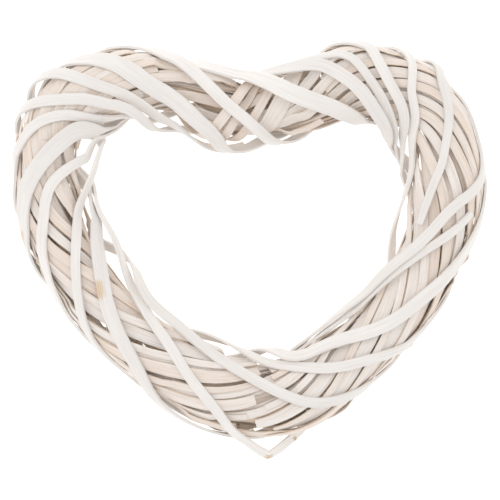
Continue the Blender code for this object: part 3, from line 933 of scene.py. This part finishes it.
class StageSettings(bpy.types.PropertyGroup):
    """Floor, light and camera."""

    floor_colour: FloatVectorProperty(
        name="Floor colour", description="Colour of the pale floor", subtype="COLOR",
        size=3, default=(0.94, 0.94, 0.94), min=0, max=1,
    )
    floor_glow: FloatProperty(
        name="Floor glow", description="Light that the floor gives off, as on a light table",
        default=0.55, min=0,
    )
    light_power: FloatProperty(
        name="Light power", description="Power of the large soft light overhead",
        default=2.2, min=0, unit="POWER",
    )
    camera_height: FloatProperty(
        name="Camera height", description="Height of the camera above the floor",
        default=1.6, min=0.3, unit="LENGTH",
    )
    view_width: FloatProperty(
        name="View width", description="Width that the picture covers at the wreath's middle",
        default=261.5 * MM, min=0.05, unit="LENGTH",
    )


def add_split(splits, line, kind, knots, width, thickness, radius):
    """One more split of a kind, numbered and noted among its like."""
    name = f"{kind}_{len(splits) + 1:02d}"
    splits.append(Strip(line, name, knots, width, thickness, radius, INNER_SEGMENT))
    return splits[-1]


def filler_splits(line):
    """Narrower splits half a strand away from the inner strips of the outermost layer."""
    layer = len(INNER_LAYERS) - 1
    strands, parts = INNER_LAYERS[layer][:2]
    radius = TUBE_RADIUS - INNER_DEPTH + layer * (INNER_THICKNESS + STRIP_GAP)
    splits = []
    for part in range(parts):
        for strand in range(strands):
            knots = inner_knots(line, layer, strand + 0.5, part)
            width = FILLER_WIDTH * (1 + FILLER_SPREAD * math.sin(INNER_WIDTH_STEP * len(splits)))
            split = add_split(
                splits, line, "filler_split", knots, width, FILLER_THICKNESS, radius
            )
            split.radius += bundle_relief(line, split.station, split.angle)
            split.radius += FILLER_BULGE * np.clip(np.cos(split.angle), 0, 1)
    return splits


def edge_splits(line):
    """Splits that fill the bundle along the heart's outer edge."""
    splits = []
    for index in range(EDGE_SPLITS):
        start = 100 * index / EDGE_SPLITS
        knots = [(start + EDGE_SPAN * half / 2, EDGE_LOW + half) for half in (0, 1, 2)]
        split = add_split(
            splits, line, "edge_split", knots, EDGE_WIDTH, EDGE_THICKNESS, OUTERMOST_RADIUS
        )
        place = np.linspace(0, 1, len(split.angle))
        rise = EDGE_RISE + EDGE_RISE_SPREAD * math.sin(INNER_WIDTH_STEP * index)
        split.angle = np.radians(EDGE_LOW + rise * np.sin(np.pi * place))
        split.radius += bundle_relief(line, split.station, split.angle)
        split.radius += EDGE_BULGE * np.clip(np.cos(split.angle), 0, 1)
    return splits


def notch_splits(line):
    """Splits that fill the bundle at the notch."""
    splits = []
    for index in range(NOTCH_SPLITS):
        start = NOTCH_REACH[0] + NOTCH_WANDER * math.sin(5 * index)
        end = NOTCH_REACH[1] + NOTCH_WANDER * math.sin(3 * index + 1)
        first = 360 * index / NOTCH_SPLITS
        turn = NOTCH_TWIST * (end - start)
        half_way = ((start + end) / 2, first + turn / 2 + INNER_SWAY)
        knots = [(start, first), half_way, (end, first + turn)]
        split = add_split(
            splits, line, "notch_split", knots, NOTCH_WIDTH, FILLER_THICKNESS, OUTERMOST_RADIUS
        )
        split.radius += NOTCH_STAND
    return splits


def deep_splits(line):
    """Thin splits that fill the inside of the bundle."""
    splits = []
    for layer, (strands, parts, advance, radius, width) in enumerate(DEEP_LAYERS):
        turn = 360 * advance / strands
        span = 1 / parts
        for part in range(parts):
            for strand in range(strands):
                share = (part + strand * JOINT_STAGGER) / parts
                first = 360 * strand / strands + turn * share
                sway = INNER_SWAY * math.sin(strand + 2 * part + layer)
                knots = [
                    (100 * share, first - sway),
                    (100 * (share + span / 2), first + turn * span / 2 + sway),
                    (100 * (share + span), first + turn * span - sway),
                ]
                split = add_split(
                    splits, line, "deep_split", knots, width * MM, DEEP_THICKNESS, radius * MM
                )
                split.radius += bundle_relief(line, split.station, split.angle)
    return splits


def coarse_strips(line):
    """The strips as the solids have them, and the place of the wreath's middle and foot."""
    pile = Pile()
    coarse = plan_strips(line)
    for strip in coarse:
        strip.lay(pile)
    every = np.concatenate([strip.corners().reshape(-1, 3) for strip in coarse])
    middle = (every.min(axis=0) + every.max(axis=0)) / 2
    return coarse, np.array([middle[0], middle[1], every[:, 2].min() + FOOT_FLAT])


# The strips, kept once they are wound
_wound = {}


def wound_strips():
    """Every fine strip by name, laid over one another, and the wreath's middle and foot."""
    if _wound:
        return _wound
    line = HeartLine()
    coarse, shift = coarse_strips(line)
    inner = [strip for strip in coarse if strip.name.startswith("inner")]
    over = coarse[len(inner):]
    strips = []

    def fine_strip(strip, step=INNER_STEP):
        """The fine form of a strip, noted among the others."""
        fine = FineStrip(strip, SEED_STEP * len(strips), step)
        strips.append(fine)
        return fine

    pile = Pile()
    roof = Roof()
    for strip in inner:
        fine = fine_strip(strip)
        fine.lay(pile)
        roof.add(*fine.underside()[:3])
    bundle = Pile()
    bundle.radius = pile.radius.copy()
    over_roof = Roof()
    for strip in over:
        fine = fine_strip(strip, OUTER_STEP)
        fine.lay(pile)
        under = fine.underside()[:3]
        roof.add(*under)
        over_roof.add(*under)
    for strip in filler_splits(line) + edge_splits(line) + notch_splits(line):
        fine = fine_strip(strip)
        fine.lay(bundle)
        fine.sink(over_roof)
        roof.add(*fine.underside()[:3])
    for strip in deep_splits(line):
        fine = fine_strip(strip)
        fine.sink(roof)
        roof.add(*fine.underside()[:3])
    _wound["shift"] = shift
    _wound["strips"] = {strip.name: strip for strip in strips}
    return _wound


def section_offsets(strip, travelled, across, settings):
    """Sideways and outward offsets of the section's points at each step, top then underside."""
    left, right = strip.half_widths(travelled)
    place = np.array(across)
    side = np.where(place[None, :] < 0, left[:, None], right[:, None]) * place[None, :]
    half = strip.thickness / 2
    drop = settings.edge_drop * np.clip((np.abs(place) - EDGE_START) / (1 - EDGE_START), 0, 1)
    crown = settings.crown * (strip.width / OUTER_WIDTH) * (1 - place**2)
    fibre = np.stack([
        slow_noise(travelled, strip.seed + 31 + index, FIBRE_WAVES) for index in range(len(place))
    ], axis=1)
    top = half * (1 - drop)[None, :] + crown[None, :] + settings.fibre_height * fibre
    under = -half * (1 - UNDER_ROUNDING * drop) + UNDER_CROWN * crown
    return side, top, np.broadcast_to(under, top.shape)


def inside_box(points):
    """The rings of points, each moved as a whole until it is inside the wreath's own box."""
    low, high = (np.array(corner) for corner in CAD_BOX)
    above = np.clip((points - (high - BOX_MARGIN)).max(axis=1), 0, None)
    below = np.clip(((low + BOX_MARGIN) - points).max(axis=1), 0, None)
    return points + (below - above)[:, None]


def tube_faces(rings, size):
    """Faces of a closed tube of rings, with a strip of faces over each end."""
    number = np.arange(rings * size).reshape(rings, size)
    around = np.roll(number, -1, axis=1)
    quads = np.stack([number[:-1], around[:-1], around[1:], number[1:]], axis=-1).reshape(-1, 4)
    faces = quads.tolist()
    for ring, flip in ((number[0].tolist(), False), (number[-1].tolist(), True)):
        for index in range(size // 2 - 1):
            cap = [ring[index], ring[size - 1 - index], ring[size - 2 - index], ring[index + 1]]
            faces.append(cap[::-1] if flip else cap)
    return faces


def wear_along(strip, travelled):
    """How bare the strip is at each step, from 0 to past 1 at a node."""
    bare = np.zeros_like(travelled)
    for letter, share, reach, depth in BARE_PLACES:
        if strip.name == "outer_strip_" + letter:
            away = np.abs(travelled - share * travelled[-1]) / (reach * MM)
            bare = np.maximum(bare, np.clip(BARE_FADE - away, 0, 1) * depth)
    return bare


def add_grain_map(mesh, strip, across, travelled):
    """A map of the distance along the strip and around its section, for its grain."""
    place = np.array(across)
    size = 2 * len(place)
    perimeter = np.concatenate([place, GRAIN_TURN + place]) * strip.width / 2
    along = np.repeat(travelled + strip.seed * GRAIN_STRIDE, size)
    round_it = np.tile(perimeter, len(travelled))
    loops = np.zeros(len(mesh.loops), int)
    mesh.loops.foreach_get("vertex_index", loops)
    flat = np.stack([along[loops], round_it[loops]], axis=1)
    mesh.uv_layers.new(name="grain").data.foreach_set("uv", flat.ravel().astype(np.float32))


def add_tone_and_wear(mesh, strip, across, travelled):
    """The strip's own tone, and how bare each of its points is."""
    chance = np.random.default_rng(strip.seed + 7)
    tone = np.full(len(mesh.vertices), float(chance.uniform(0, 1)), np.float32)
    place = np.concatenate([np.array(across), np.array(across)[::-1]])
    lean = np.clip(BARE_LEAN[0] - np.abs(place - BARE_LEAN[1]), 0, 1)
    rubbed = OUTER_EDGE_WEAR if strip.name.startswith("outer") else INNER_EDGE_WEAR
    bare = wear_along(strip, travelled)[:, None] * lean[None, :]
    wear = np.clip(np.abs(place)[None, :] ** EDGE_WEAR_POWER * rubbed, 0, 1) + bare
    for name, values in (("tone", tone), ("wear", wear.ravel().astype(np.float32))):
        mesh.attributes.new(name, "FLOAT", "POINT").data.foreach_set("value", values)


def strip_mesh(strip, across, settings, shift):
    """The mesh of one dressed strip, with its grain map, tone and wear."""
    middle, sideways, facing, travelled = strip.frames()
    side, top, under = section_offsets(strip, travelled, across, settings)
    level = middle[:, None] + sideways[:, None] * side[..., None]
    upper = level + facing[:, None] * top[..., None]
    lower = level + facing[:, None] * under[..., None]
    points = inside_box(np.concatenate([upper, lower[:, ::-1]], axis=1) - shift)
    mesh = bpy.data.meshes.new(strip.name)
    mesh.from_pydata(points.reshape(-1, 3).tolist(), [], tube_faces(*points.shape[:2]))
    add_grain_map(mesh, strip, across, travelled)
    add_tone_and_wear(mesh, strip, across, travelled)
    mesh.polygons.foreach_set("use_smooth", np.ones(len(mesh.polygons), bool))
    body = bmesh.new()
    body.from_mesh(mesh)
    bmesh.ops.recalc_face_normals(body, faces=body.faces)
    body.to_mesh(mesh)
    body.free()
    mesh.set_sharp_from_angle(angle=math.radians(SHARP_ANGLE))
    mesh.update()
    return mesh


def add_group(name, inputs, outputs):
    """An empty shader node group with named number sockets."""
    group = bpy.data.node_groups.new(name, "ShaderNodeTree")
    for label, value in inputs.items():
        socket = group.interface.new_socket(
            name=label, in_out="INPUT", socket_type="NodeSocketFloat"
        )
        socket.default_value = value
    for label in outputs:
        group.interface.new_socket(name=label, in_out="OUTPUT", socket_type="NodeSocketFloat")
    entry = group.nodes.new("NodeGroupInput")
    leave = group.nodes.new("NodeGroupOutput")
    return group, entry, leave


def feed(tree, socket, value):
    """Link a socket to another one, or set it to a plain value."""
    if isinstance(value, bpy.types.NodeSocket):
        tree.links.new(value, socket)
    else:
        socket.default_value = value


def add_node(tree, kind, inputs=None, **props):
    """A node with the given properties, and its inputs set or linked by name."""
    node = tree.nodes.new(kind)
    for key, value in props.items():
        setattr(node, key, value)
    for key, value in (inputs or {}).items():
        feed(tree, node.inputs[key], value)
    return node


def math_node(tree, operation, *values):
    """The result of one sum on values or sockets."""
    node = add_node(tree, "ShaderNodeMath", dict(enumerate(values)), operation=operation)
    return node.outputs[0]


def smooth_step(tree, value, low, high):
    """A value eased from 0 at low to 1 at high."""
    inputs = {"Value": value, "From Min": low, "From Max": high}
    node = add_node(tree, "ShaderNodeMapRange", inputs, interpolation_type="SMOOTHSTEP")
    return node.outputs["Result"]


def mix_colour(tree, share, first, second):
    """One colour laid over another."""
    node = add_node(tree, "ShaderNodeMix", data_type="RGBA")
    sockets = {socket.identifier: socket for socket in node.inputs}
    for key, value in (("Factor_Float", share), ("A_Color", first), ("B_Color", second)):
        feed(tree, sockets[key], value)
    return next(socket for socket in node.outputs if socket.identifier == "Result_Color")


def speckle(tree, along, across, detail, roughness):
    """An even noise that repeats at its own rate along and across the strip."""
    place = add_node(tree, "ShaderNodeCombineXYZ", {0: along, 1: across})
    inputs = {"Vector": place.outputs[0], "Scale": 1.0, "Detail": detail, "Roughness": roughness}
    noise = add_node(tree, "ShaderNodeTexNoise", inputs, noise_dimensions="2D")
    return noise.outputs["Fac"]


def grain_group():
    """Long fibres, pores and slow blotches of a rattan split, from its own map."""
    name = "Rattan grain"
    if name in bpy.data.node_groups:
        return bpy.data.node_groups[name]
    outputs = ("Fibre", "Pores", "Blotch", "Height")
    group, entry, leave = add_group(name, GRAIN_INPUTS, outputs)
    uv = add_node(group, "ShaderNodeUVMap", uv_map="grain")
    split = add_node(group, "ShaderNodeSeparateXYZ", {0: uv.outputs["UV"]})
    x, y = split.outputs["X"], split.outputs["Y"]
    width = math_node(group, "MULTIPLY", entry.outputs["Fibre width"], MM)
    fibre = speckle(
        group, math_node(group, "MULTIPLY", x, FIBRE_REPEATS), math_node(group, "DIVIDE", y, width),
        *FIBRE_DETAIL,
    )
    pore, blotch = (
        speckle(
            group, math_node(group, "MULTIPLY", x, repeats[0]),
            math_node(group, "MULTIPLY", y, repeats[1]), *detail,
        )
        for repeats, detail in ((PORE_REPEATS, PORE_DETAIL), (BLOTCH_REPEATS, BLOTCH_DETAIL))
    )
    amount = math_node(group, "MULTIPLY", entry.outputs["Pore amount"], PORE_SPREAD)
    low = math_node(group, "SUBTRACT", PORE_LIMITS[0], amount)
    pores = smooth_step(group, pore, low, PORE_LIMITS[1])
    depth = math_node(group, "MULTIPLY", pores, PORE_DEPTH)
    height = math_node(group, "SUBTRACT", fibre, depth)
    for label, value in zip(outputs, (fibre, pores, blotch, height)):
        group.links.new(value, leave.inputs[label])
    return group


def rattan_material(name, wash, dull, bare, fibre_colour, wash_depth, grain_sizes, roughness):
    """Rattan under a wash that is thinner on its edges and worn off in places."""
    if name in bpy.data.materials:
        return bpy.data.materials[name]
    material = bpy.data.materials.new(name)
    material.use_nodes = True
    tree = material.node_tree
    shader = tree.nodes["Principled BSDF"]
    grain = add_node(tree, "ShaderNodeGroup", node_tree=grain_group())
    for label, value in zip(("Fibre width", "Pore amount"), grain_sizes):
        grain.inputs[label].default_value = value
    fibre, blotch = grain.outputs["Fibre"], grain.outputs["Blotch"]
    wear = add_node(tree, "ShaderNodeAttribute", attribute_name="wear").outputs["Fac"]
    strip_tone = add_node(tree, "ShaderNodeAttribute", attribute_name="tone").outputs["Fac"]

    own_tone = smooth_step(tree, strip_tone, *TONE_LIMITS)
    patches = smooth_step(tree, blotch, *BLOTCH_LIMITS)
    own_share = math_node(tree, "MULTIPLY", own_tone, STRIP_TONE)
    tone = math_node(tree, "MULTIPLY_ADD", patches, BLOTCH_TONE, own_share)
    ground = mix_colour(tree, tone, (*dull, 1), (*wash, 1))

    streak = smooth_step(tree, fibre, *STREAK_LIMITS)
    streak_share = math_node(tree, "MULTIPLY", streak, STREAK_STRENGTH * (1 - wash_depth))
    streaked = mix_colour(tree, streak_share, ground, (*fibre_colour, 1))

    worn = math_node(tree, "ADD", wear, math_node(tree, "MULTIPLY", fibre, WORN_FIBRE))
    worn = math_node(tree, "ADD", worn, math_node(tree, "MULTIPLY", blotch, WORN_BLOTCH))
    bared = smooth_step(tree, worn, BARE_LIMITS[0] + BARE_HOLD * wash_depth, BARE_LIMITS[1])
    node = smooth_step(tree, wear, *NODE_LIMITS)
    laid_bare = mix_colour(tree, node, (*bare, 1), (*fibre_colour, 1))
    washed = mix_colour(tree, bared, streaked, laid_bare)
    pore_share = math_node(tree, "MULTIPLY", grain.outputs["Pores"], PORE_STRENGTH)
    pitted = mix_colour(tree, pore_share, washed, (*fibre_colour, 1))
    tree.links.new(pitted, shader.inputs["Base Color"])

    rough = math_node(tree, "MULTIPLY_ADD", fibre, ROUGH_SPREAD, roughness - ROUGH_DROP)
    tree.links.new(rough, shader.inputs["Roughness"])
    bump = add_node(
        tree, "ShaderNodeBump",
        {"Strength": BUMP_STRENGTH, "Distance": BUMP_DEPTH, "Height": grain.outputs["Height"]},
    )
    tree.links.new(bump.outputs["Normal"], shader.inputs["Normal"])
    shader.inputs["Specular IOR Level"].default_value = GLOSS
    return material


def finishes():
    """The three finishes: thick white wash, thin wash, and the thin wash deep in the bundle, made
    lighter there as painted fill light and browner as painted shade.
    """
    colours = bpy.context.scene.wreath_finish
    wash, thin, deep, tan, bare, fibre = (
        tuple(colour) for colour in (
            colours.wash, colours.thin_wash, colours.deep_wash_painted_fill, colours.deep_tan_painted_shade_and_fill, colours.bare,
            colours.fibre,
        )
    )
    shaded = tuple(DULL_WASH * value for value in wash)
    return {
        "white": rattan_material(
            "whitewashed rattan", wash, shaded, bare, fibre, 0.62, (0.55, 0.25), 0.72
        ),
        "cream": rattan_material(
            "thinly washed rattan", wash, thin, bare, fibre, 0.2, (0.45, 0.5), 0.78
        ),
        # Deep splits: lighter colours as painted fill light where little light reaches, and browned
        # as painted shade.
        "deep": rattan_material(
            "deep thinly washed rattan", deep, tan, bare, fibre, 0.3, (0.45, 0.4), 0.8
        ),
    }


def put_in_place(strip, across, material, node=None):
    """Build one strip's object, let it ride on the body and stand for its solid."""
    settings = bpy.context.scene.wreath_strips
    mesh = strip_mesh(strip, across, settings, wound_strips()["shift"])
    mesh.materials.append(material)
    name = strip.name + "_split" if node else strip.name
    piece = bpy.data.objects.new(name, mesh)
    bpy.context.scene.collection.objects.link(piece)
    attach(piece, BODY)
    if node:
        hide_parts(node)


def build_strips(starts, across, finish, replacing=True):
    """Put every strip in place whose name starts so, replacing its solid or beside the solids."""
    material = finishes()[finish]
    for name, strip in wound_strips()["strips"].items():
        if name.startswith(starts):
            put_in_place(strip, across, material, name if replacing else None)


class WREATH_OT_outer_strips(bpy.types.Operator):
    """Build the broad white strips wound round the outside."""

    bl_idname = "wreath.outer_strips"
    bl_label = "Outer strips"

    def execute(self, context):
        build_strips("outer_strip", OUTER_ACROSS, "white")
        return {"FINISHED"}


class WREATH_OT_inner_strips(bpy.types.Operator):
    """Build the narrower, thinly washed strips of the two inner layers."""

    bl_idname = "wreath.inner_strips"
    bl_label = "Inner strips"

    def execute(self, context):
        build_strips("inner_strip", INNER_ACROSS, "cream")
        return {"FINISHED"}


class WREATH_OT_notch_wraps(bpy.types.Operator):
    """Build the steep wraps that bind the notch."""

    bl_idname = "wreath.notch_wraps"
    bl_label = "Notch wraps"

    def execute(self, context):
        build_strips("notch_wrap", OUTER_ACROSS, "cream")
        return {"FINISHED"}


class WREATH_OT_filler_splits(bpy.types.Operator):
    """Build the narrower splits between the inner strips, along the outer edge and at the notch."""

    bl_idname = "wreath.filler_splits"
    bl_label = "Filler splits"

    def execute(self, context):
        starts = ("filler_split", "edge_split", "notch_split")
        build_strips(starts, INNER_ACROSS, "cream", replacing=False)
        return {"FINISHED"}


class WREATH_OT_deep_splits(bpy.types.Operator):
    """Build the thin splits deep in the bundle, which fill the gaps between the strips."""

    bl_idname = "wreath.deep_splits"
    bl_label = "Deep splits"

    def execute(self, context):
        # Their finish holds painted fill light and painted shade in its colours.
        build_strips("deep_split", INNER_ACROSS, "deep", replacing=False)
        return {"FINISHED"}


def add_floor(scene, settings):
    """Lay the pale floor, which glows a little as a light table does."""
    corners = [(-1, -1), (1, -1), (1, 1), (-1, 1)]
    mesh = bpy.data.meshes.new("floor")
    points = [(x * FLOOR_REACH, y * FLOOR_REACH, 0) for x, y in corners]
    mesh.from_pydata(points, [], [(0, 1, 2, 3)])
    floor = bpy.data.objects.new("floor", mesh)
    scene.collection.objects.link(floor)
    material = bpy.data.materials.new("pale floor")
    material.use_nodes = True
    shader = material.node_tree.nodes["Principled BSDF"]
    shader.inputs["Base Color"].default_value = (*settings.floor_colour, 1)
    shader.inputs["Roughness"].default_value = FLOOR_ROUGHNESS
    shader.inputs["Emission Color"].default_value = (1, 1, 1, 1)
    shader.inputs["Emission Strength"].default_value = settings.floor_glow
    mesh.materials.append(material)


def add_lights(scene, settings):
    """Light the room softly from all round, and from a large lamp overhead."""
    world = bpy.data.worlds.new("soft room")
    world.use_nodes = True
    world.node_tree.nodes["Background"].inputs["Color"].default_value = (1, 1, 1, 1)
    world.node_tree.nodes["Background"].inputs["Strength"].default_value = ROOM_LIGHT
    scene.world = world
    scene.view_settings.view_transform = "Standard"
    scene.view_settings.gamma = PICTURE_GAMMA
    light = bpy.data.lights.new("overhead light", "AREA")
    light.energy = settings.light_power
    light.shape = "DISK"
    light.size = LAMP_SIZE
    lamp = bpy.data.objects.new("overhead light", light)
    lamp.location = LAMP_PLACE
    lamp.rotation_mode = "QUATERNION"
    lamp.rotation_quaternion = (-lamp.location).to_track_quat("-Z", "Y")
    scene.collection.objects.link(lamp)


def add_camera(scene, settings):
    """Hang the camera over the wreath, looking straight down on it."""
    middle = (CAD_BOX[0][2] + CAD_BOX[1][2]) / 2
    camera = bpy.data.cameras.new("overhead camera")
    camera.sensor_width = SENSOR_WIDTH
    camera.lens = camera.sensor_width * (settings.camera_height - middle) / settings.view_width
    camera.clip_start = NEAREST_SEEN
    view = bpy.data.objects.new("overhead camera", camera)
    view.location = (0, 0, settings.camera_height)
    scene.collection.objects.link(view)
    scene.camera = view


class WREATH_OT_stage(bpy.types.Operator):
    """Build the pale floor, the soft light and the camera overhead."""

    bl_idname = "wreath.stage"
    bl_label = "Stage"

    def execute(self, context):
        settings = context.scene.wreath_stage
        add_floor(context.scene, settings)
        add_lights(context.scene, settings)
        add_camera(context.scene, settings)
        return {"FINISHED"}


class VIEW3D_PT_heart_wreath(bpy.types.Panel):
    """Lists the wreath's settings and its operators in the sidebar."""

    bl_label = "Heart Wreath"
    bl_space_type = "VIEW_3D"
    bl_region_type = "UI"
    bl_category = "Heart Wreath"

    def draw(self, context):
        for group in (
            context.scene.wreath_strips, context.scene.wreath_finish, context.scene.wreath_stage,
        ):
            box = self.layout.box()
            for key in group.__annotations__:
                box.prop(group, key)
        for operator in OPERATORS:
            self.layout.operator(operator.bl_idname)


OPERATORS = (
    WREATH_OT_outer_strips,
    WREATH_OT_inner_strips,
    WREATH_OT_filler_splits,
    WREATH_OT_notch_wraps,
    WREATH_OT_deep_splits,
    WREATH_OT_stage,
)
CLASSES = (StripSettings, FinishSettings, StageSettings, *OPERATORS, VIEW3D_PT_heart_wreath)


def register():
    for item in CLASSES:
        bpy.utils.register_class(item)
    bpy.types.Scene.wreath_strips = PointerProperty(type=StripSettings)
    bpy.types.Scene.wreath_finish = PointerProperty(type=FinishSettings)
    bpy.types.Scene.wreath_stage = PointerProperty(type=StageSettings)


def unregister():
    del bpy.types.Scene.wreath_stage
    del bpy.types.Scene.wreath_finish
    del bpy.types.Scene.wreath_strips
    for item in reversed(CLASSES):
        bpy.utils.unregister_class(item)


def main():
    """Build the whole wreath and its stage."""
    register()
    bpy.ops.wreath.outer_strips()
    bpy.ops.wreath.inner_strips()
    bpy.ops.wreath.filler_splits()
    bpy.ops.wreath.notch_wraps()
    bpy.ops.wreath.deep_splits()
    bpy.ops.wreath.stage()


if __name__ == "__main__":
    main()
